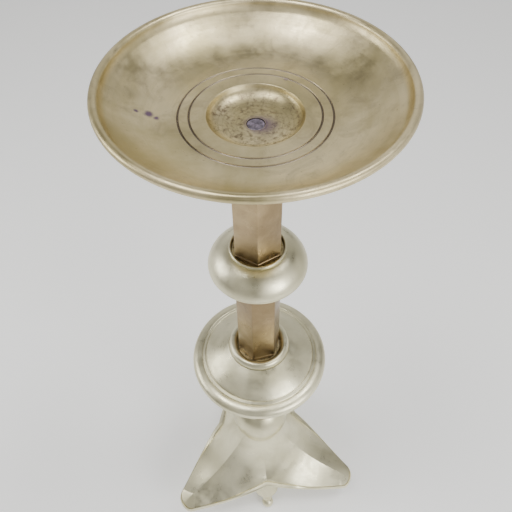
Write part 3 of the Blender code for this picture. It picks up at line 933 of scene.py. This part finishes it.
@dataclass
class Base:
    """The ball, the cast three-lobed skirt and its peg feet."""

    ball_centre: float = -0.4660
    ball_radius: float = 0.0345
    ball_wall: float = 0.0030
    ball_top: float = -0.4392
    ball_bottom: float = -0.4887
    top: float = -0.4890
    wall: float = 0.0032
    crown: float = 0.0260
    crown_steps: tuple[Point, ...] = ((0.0034, 0.0), (0.0014, 0.0012), (0.0008, 0.0034))  # inset and drop
    lobes: int = 3
    first_lobe: float = 90.0
    valley: float = 0.0655
    valley_edge: float = -0.5660
    corner_edge: float = -0.5880
    droop: float = 0.0030  # fall of the edge from a lobe's corners to its tip
    corner: Point = (0.1285, 0.0150)
    tip: float = 0.1368
    tip_round: float = 0.75  # 1 gives a square end, 0 a pointed one
    swell: Point = (0.0640, 0.0480)  # control point of the curve from corner to valley
    hollow: float = 0.0060  # how far the valleys sag
    fold_start: float = 0.1170  # where the ridge breaks into the two end facets
    fold_gap: float = 0.0008
    ridge_reach: float = 0.1372
    ridge_start: float = 0.0140
    ridge_fall: float = 0.0700
    ridge_power: float = 2.4  # how early the ridge falls
    flank_power: float = 0.85
    valley_power: float = 0.90
    band: Point = (0.0050, 0.0090)  # height of the raised band, at valleys and corners
    band_width: Point = (0.0030, 0.0050)  # its width at lobe ends, and what the valleys add
    band_steps: tuple[Point, ...] = ((0.18, 0.22), (0.42, 0.12), (0.78, 0.28))  # shares of width and height
    band_lip: Point = (0.0001, 0.45)
    crease: float = 13.0
    foot_angles: tuple[float, ...] = (270.0, 30.0, 150.0)
    foot_circle: float = 0.0700
    foot_ball: float = 0.0078
    foot_worn: float = 0.0005  # cut off under the ball
    foot_neck: float = 0.0070
    foot_cone: float = 0.0165
    foot_length: float = 0.0480
    foot_shoulder: float = 0.0270
    foot_taper: float = 0.0172
    foot_splay: float = 30.0
    neck_steps: int = 12
    rings: int = 26
    tip_steps: int = 10
    swell_steps: int = 28

    def outline(self) -> list[Vector]:
        """Return half a lobe's edge in plan from tip to valley, with a rounded end."""
        tip = Vector((self.tip, 0.0))
        shoulder = Vector((self.tip, self.corner[1] * self.tip_round))
        corner = Vector(self.corner)
        half = math.pi / self.lobes
        valley = Vector((self.valley * math.cos(half), self.valley * math.sin(half)))
        points = []
        for i in range(self.tip_steps):
            t = i / self.tip_steps
            points.append(tip * (1 - t) ** 2 + shoulder * 2 * t * (1 - t) + corner * t ** 2)
        for i in range(self.swell_steps + 1):
            t = i / self.swell_steps
            points.append(corner * (1 - t) ** 2 + Vector(self.swell) * 2 * t * (1 - t) + valley * t ** 2)
        return points

    def edge(self, radius: float) -> float:
        """Return the height of the skirt's lower edge.

        Args:
            radius: distance of the edge from the axis.
        Returns:
            The height.
        """
        far = Vector(self.corner).length
        part = min((radius - self.valley) / (far - self.valley), 1.0)
        droop = self.droop * max(radius - far, 0.0) / (self.tip - far)
        return self.valley_edge + (self.corner_edge - self.valley_edge) * (1.0 - (1.0 - part) ** 2) - droop

    def ridge(self, radius: float) -> float:
        """Return the height of a lobe's ridge.

        Args:
            radius: distance from the axis.
        Returns:
            The height.
        """
        sweep = min((radius - self.crown) / (self.ridge_reach - self.crown), 1.0)
        return self.top - self.ridge_start - self.ridge_fall * (1.0 - (1.0 - sweep) ** self.ridge_power)

    def band_line(self, point: Vector) -> tuple[float, ...]:
        """Return the line above the band at a point of the outline.

        Args:
            point: the point of the outline, along and across a lobe.
        Returns:
            The line's radius and height, and the band's width and height.
        """
        far = Vector(self.corner).length
        height = self.band[0] + (self.band[1] - self.band[0]) * smooth(point.length, self.valley, far)
        narrow, more = self.band_width
        width = narrow + more * (1.0 - smooth(point.length, self.valley, (self.valley + far) / 2.0))
        return point.length - width, self.edge(point.length) + height, width, height

    def band_rows(self) -> list[Row]:
        """Return radius, direction and height of the line above the band, from a corner to the valley."""
        rows = []
        for point in self.outline()[self.tip_steps:]:
            radius, height, _, _ = self.band_line(point)
            rows.append((radius, math.atan2(point.y, point.x), height))
        return rows

    def flank(self, radius: float, angle: float, rows: list[Row]) -> float:
        """Return the skirt's height: creased at the ridge, falling round to the band or the valley.

        Args:
            radius: distance from the axis.
            angle: direction from the lobe's ridge.
            rows: the line above the band.
        Returns:
            The height.
        """
        valley_radius, foot_angle, foot_z = rows[-1]
        top = self.ridge(radius)
        if radius <= valley_radius:
            part = (radius - self.crown) / (valley_radius - self.crown)
            drop = (self.ridge(valley_radius) - foot_z) * part ** self.valley_power
            foot_z = top - drop - self.hollow * math.sin(math.pi * part)
        else:
            for outer, inner in zip(rows, rows[1:]):
                if radius >= inner[0]:
                    part = min((radius - inner[0]) / (outer[0] - inner[0]), 1.0)
                    foot_angle = inner[1] + (outer[1] - inner[1]) * part
                    foot_z = inner[2] + (outer[2] - inner[2]) * part
                    break
        return top - (top - foot_z) * min(angle / foot_angle, 1.0) ** self.flank_power

    def column(self, point: Vector, rows: list[Row]) -> list[Point]:
        """Return radii and heights down the skirt towards one point of the outline.

        Args:
            point: the point of the outline, along and across a lobe.
            rows: the line above the band.
        Returns:
            The column from the crown to the lower edge.
        """
        line_r, line_z, width, height = self.band_line(point)
        angle = math.atan2(point.y, point.x)
        part = angle / math.atan2(self.corner[1], self.corner[0])
        fold = line_r - self.fold_gap
        if part < 1.0:
            fold = self.fold_start + (rows[0][0] - self.fold_gap - self.fold_start) * part
        points = []
        for i in range(self.rings + 1):
            r = self.crown + (fold - self.crown) * i / self.rings
            points.append((r, self.flank(r, angle, rows)))
        fold_z = points[-1][1]
        points += [((fold + line_r) / 2.0, (fold_z + line_z) / 2.0), (line_r, line_z)]
        points += [(line_r + width * across, line_z - height * down) for across, down in self.band_steps]
        inset, share = self.band_lip
        foot = self.edge(point.length)
        return points + [(point.length - inset, foot + height * share), (point.length, foot)]

    def spokes(self) -> list[tuple[float, Vector]]:
        """Return the direction and outline point of every column, once round the skirt."""
        half = self.outline()
        spokes = []
        for lobe in range(self.lobes):
            middle = math.radians(self.first_lobe + 360.0 / self.lobes * lobe)
            right = [(middle - math.atan2(p.y, p.x), p) for p in half[1:]]
            spokes += list(reversed(right)) + [(middle + math.atan2(p.y, p.x), p) for p in half[:-1]]
        return spokes

    def skirt(self) -> Piece:
        """Extrude a ring of edges down the skirt, then give it its wall.

        Returns:
            The cast base.
        """
        rows = self.band_rows()
        spokes = self.spokes()
        crown = [(ROD_HOLE, self.top)]
        crown += [(self.crown - inset, self.top - drop) for inset, drop in self.crown_steps]
        columns = [crown + self.column(point, rows) for _, point in spokes]
        deselect()
        bpy.ops.mesh.primitive_circle_add(vertices=len(spokes), radius=ROD_HOLE)
        obj = named("base_skirt")
        open_mesh()
        for _ in range(len(columns[0]) - 1):
            bpy.ops.mesh.extrude_edges_move()
        close_mesh()
        count = len(spokes)
        for i, (angle, _) in enumerate(spokes):
            for j, (r, z) in enumerate(columns[i]):
                obj.data.vertices[j * count + i].co = (r * math.cos(angle), r * math.sin(angle), z)
        open_mesh()
        bpy.ops.mesh.normals_make_consistent(inside=False)
        close_mesh()
        if sum(face.normal.z for face in obj.data.polygons) < 0.0:
            obj.data.flip_normals()
        solid = obj.modifiers.new("Wall", "SOLIDIFY")
        solid.thickness = self.wall
        solid.offset = -1.0
        solid.use_even_offset = False
        pick(obj)
        bpy.ops.object.modifier_apply(modifier="Wall")
        return settle(obj, math.radians(self.crease))

    def foot(self, number: int, angle: float) -> Piece:
        """Turn one peg foot, splay it and trim it under the skirt and on the floor.

        Args:
            number: the foot's number.
            angle: its direction in degrees.
        Returns:
            The foot.
        """
        ceiling = max(v.co.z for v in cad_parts[f"foot_{number}"].data.vertices)
        profile = [(0.0, self.foot_length), (self.foot_cone, self.foot_length),
                   (self.foot_cone, self.foot_shoulder)]
        for i in range(1, self.neck_steps + 1):
            profile.append((self.foot_cone + (self.foot_neck - self.foot_cone) * smooth(i, 0, self.neck_steps),
                            self.foot_shoulder - self.foot_taper * i / self.neck_steps))
        profile += arc((0.0, 0.0), (self.foot_ball, self.foot_ball), 44.0, -90.0, 18)
        obj = lathe(f"peg_foot_{number}", profile, FOOT_STEPS, closed=False)
        turn = Matrix.Rotation(math.radians(angle), 4, "Z")
        lift = Matrix.Translation((self.foot_circle, 0.0, FLOOR + self.foot_ball - self.foot_worn))
        obj.data.transform(turn @ lift @ Matrix.Rotation(math.radians(-self.foot_splay), 4, "Y"))
        pick(obj)
        for height, lower in ((FLOOR, True), (ceiling, False)):
            open_mesh()
            bpy.ops.mesh.bisect(plane_co=(0.0, 0.0, height), plane_no=(0.0, 0.0, 1.0), use_fill=True,
                                threshold=CUT_MERGE, clear_inner=lower, clear_outer=not lower)
            close_mesh()
        return settle(obj)

    def ball_arc(self, radius: float, start: float, end: float, count: int) -> list[Point]:
        """Return an arc of the ball between two heights.

        Args:
            radius: the arc's radius.
            start: the height where it starts.
            end: the height where it ends.
            count: number of steps.
        Returns:
            The arc's points.
        """
        angles = [math.degrees(math.asin((height - self.ball_centre) / radius)) for height in (start, end)]
        return arc((0.0, self.ball_centre), (radius, radius), angles[0], angles[1], count)

    def ball(self) -> list[Point]:
        """Return the section of the hollow ball, open below."""
        inside = self.ball_radius - self.ball_wall
        ceiling = self.ball_top - self.ball_wall
        points = self.ball_arc(self.ball_radius, self.ball_top, self.ball_bottom, 40)
        points += self.ball_arc(inside, self.ball_bottom, ceiling, 12)
        return points + [(ROD_HOLE, ceiling), (ROD_HOLE, self.ball_top)]

    def build(self, shop: Workshop) -> None:
        """Make the ball, the skirt and the feet.

        Args:
            shop: dresses the pieces.
        """
        shop.fit(lathe("base_globe", self.ball()), Slot.PALE, "base_ball")
        shop.fit(self.skirt(), Slot.PALE, "base_casting")
        for number, angle in enumerate(self.foot_angles, start=1):
            shop.fit(self.foot(number, angle), Slot.PALE, f"foot_{number}")


@dataclass
class TieRod:
    """The iron rod whose end shows in the candle recess, with its washer and nut."""

    head: float = 0.0060
    head_length: float = 0.0020
    head_round: Point = (0.0006, 0.0005)
    centre_mark: Place = (0.0015, 0.0019, 0.0001)  # two radii and a depth
    shank: float = 0.0050
    chamfer: float = 0.0010

    def section(self) -> list[Point]:
        """Return the rod's section from the middle of its head down to its end."""
        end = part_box("tie_rod")[0].z
        floor, rim, depth = self.centre_mark
        inset, drop = self.head_round
        return [(0.0, -depth), (floor, -depth), (rim, 0.0), (self.head - inset, 0.0), (self.head, -drop),
                (self.head, -self.head_length), (self.shank, -self.head_length),
                (self.shank, end + self.chamfer), (self.shank - self.chamfer, end), (0.0, end)]

    def build(self, shop: Workshop) -> None:
        """Turn the rod and dress the washer, the nut and the hidden cores.

        Args:
            shop: dresses the pieces.
        """
        rod = lathe("clamp_rod", self.section(), SMALL_STEPS, closed=False)
        shop.fit(rod, Slot.IRON, "tie_rod")
        for node in ("tie_rod_washer", "tie_rod_nut"):
            shop.keep(node, Slot.IRON)
        for node in ("upper_knop_core", "lower_knop_core"):
            shop.keep(node, Slot.AGED)


# -------------------- studio
@dataclass(frozen=True)
class Lamp:
    """A square soft light that faces the candlestick; its size in metres, its power in watts."""

    name: str
    place: Place
    size: float
    power: float
    aim: Place = (0.0, 0.0, -0.20)

    def hang(self) -> None:
        """Put the light into the scene."""
        data = bpy.data.lights.new(self.name, "AREA")
        data.size = self.size
        data.energy = self.power
        obj = bpy.data.objects.new(self.name, data)
        obj.location = self.place
        obj.rotation_euler = (Vector(self.aim) - Vector(self.place)).to_track_quat("-Z", "Y").to_euler()
        bpy.context.scene.collection.objects.link(obj)


@dataclass
class Studio:
    """Pale floor, soft light and the camera."""

    floor_size: float = 8.0
    floor_colour: Colour = (0.97, 0.97, 0.96)
    floor_glow: Colour = (1.0, 1.0, 0.99)
    floor_glow_strength: float = 0.22
    floor_roughness: float = 0.9
    sky_colour: Colour = (1.0, 0.99, 0.96)
    sky_grain: Point = (1.5, 1.0)  # scale and detail of its soft patches
    sky_span: Point = (0.36, 0.64)
    sky_strength: Point = (0.17, 1.00)
    lamps: tuple[Lamp, ...] = (
        Lamp("overhead_left", (-0.50, -0.10, 1.30), 0.50, 10.0),
        Lamp("overhead_right", (0.60, -0.05, 1.25), 0.45, 9.0),
        Lamp("front_right", (0.80, -1.15, 0.30), 0.70, 12.0),
        Lamp("side_left", (-1.20, 0.25, 0.30), 0.60, 6.0))
    lens: float = 39.29
    sensor: float = 36.0
    camera_right: Place = (0.9901, -0.1402, -0.0116)
    camera_up: Place = (0.1172, 0.7769, 0.6186)
    camera_back: Place = (-0.0777, -0.6138, 0.7856)
    camera_place: Place = (-0.0380, -0.2884, 0.2312)

    def lay_floor(self) -> None:
        """Lay the plain pale floor."""
        deselect()
        bpy.ops.mesh.primitive_plane_add(size=self.floor_size, location=(0.0, 0.0, FLOOR))
        floor = named("studio_floor")
        graph = Graph("floor_pale")
        for key, value in (("Base Color", self.floor_colour), ("Emission Color", self.floor_glow),
                           ("Emission Strength", self.floor_glow_strength), ("Roughness", self.floor_roughness)):
            graph.put(value, graph.shader.inputs[key])
        floor.data.materials.append(graph.material)

    def hang_sky(self) -> None:
        """Surround the scene with soft patches of light."""
        world = bpy.data.worlds.new("studio_world")
        world.use_nodes = True
        nodes = world.node_tree.nodes
        patches = nodes.new("ShaderNodeTexNoise")
        for key, number in zip(("Scale", "Detail"), self.sky_grain):
            patches.inputs[key].default_value = number
        ramp = nodes.new("ShaderNodeMapRange")
        for key, number in zip(RAMP_KEYS, (*self.sky_span, *self.sky_strength)):
            ramp.inputs[key].default_value = number
        place = nodes.new("ShaderNodeTexCoord")
        world.node_tree.links.new(place.outputs["Generated"], patches.inputs["Vector"])
        world.node_tree.links.new(patches.outputs["Fac"], ramp.inputs["Value"])
        world.node_tree.links.new(ramp.outputs["Result"], nodes["Background"].inputs["Strength"])
        nodes["Background"].inputs["Color"].default_value = (*self.sky_colour, 1.0)
        bpy.context.scene.world = world

    def set_camera(self) -> None:
        """Put the camera in its place and make it the scene's."""
        data = bpy.data.cameras.new("camera")
        data.sensor_width = self.sensor
        data.lens = self.lens
        camera = bpy.data.objects.new("camera", data)
        turn = Matrix((self.camera_right, self.camera_up, self.camera_back)).transposed()
        camera.matrix_world = Matrix.Translation(self.camera_place) @ turn.to_4x4()
        bpy.context.scene.collection.objects.link(camera)
        bpy.context.scene.camera = camera

    def build(self) -> None:
        """Lay the floor, hang the lights and set the camera."""
        self.lay_floor()
        self.hang_sky()
        for lamp in self.lamps:
            lamp.hang()
        self.set_camera()


def main() -> None:
    """Build the candlestick from the pan down, then the studio."""
    logging.basicConfig(level=logging.INFO)
    shop = Workshop()
    DripPan().build(shop)
    UpperKnop().build(shop)
    LowerKnop().build(shop)
    for node, turn in (("upper_stem", 22.5), ("middle_stem", 6.5), ("lower_stem", 30.0)):
        Stem(node, turn).build(shop)
    Base().build(shop)
    TieRod().build(shop)
    Studio().build()


if __name__ == "__main__":
    main()
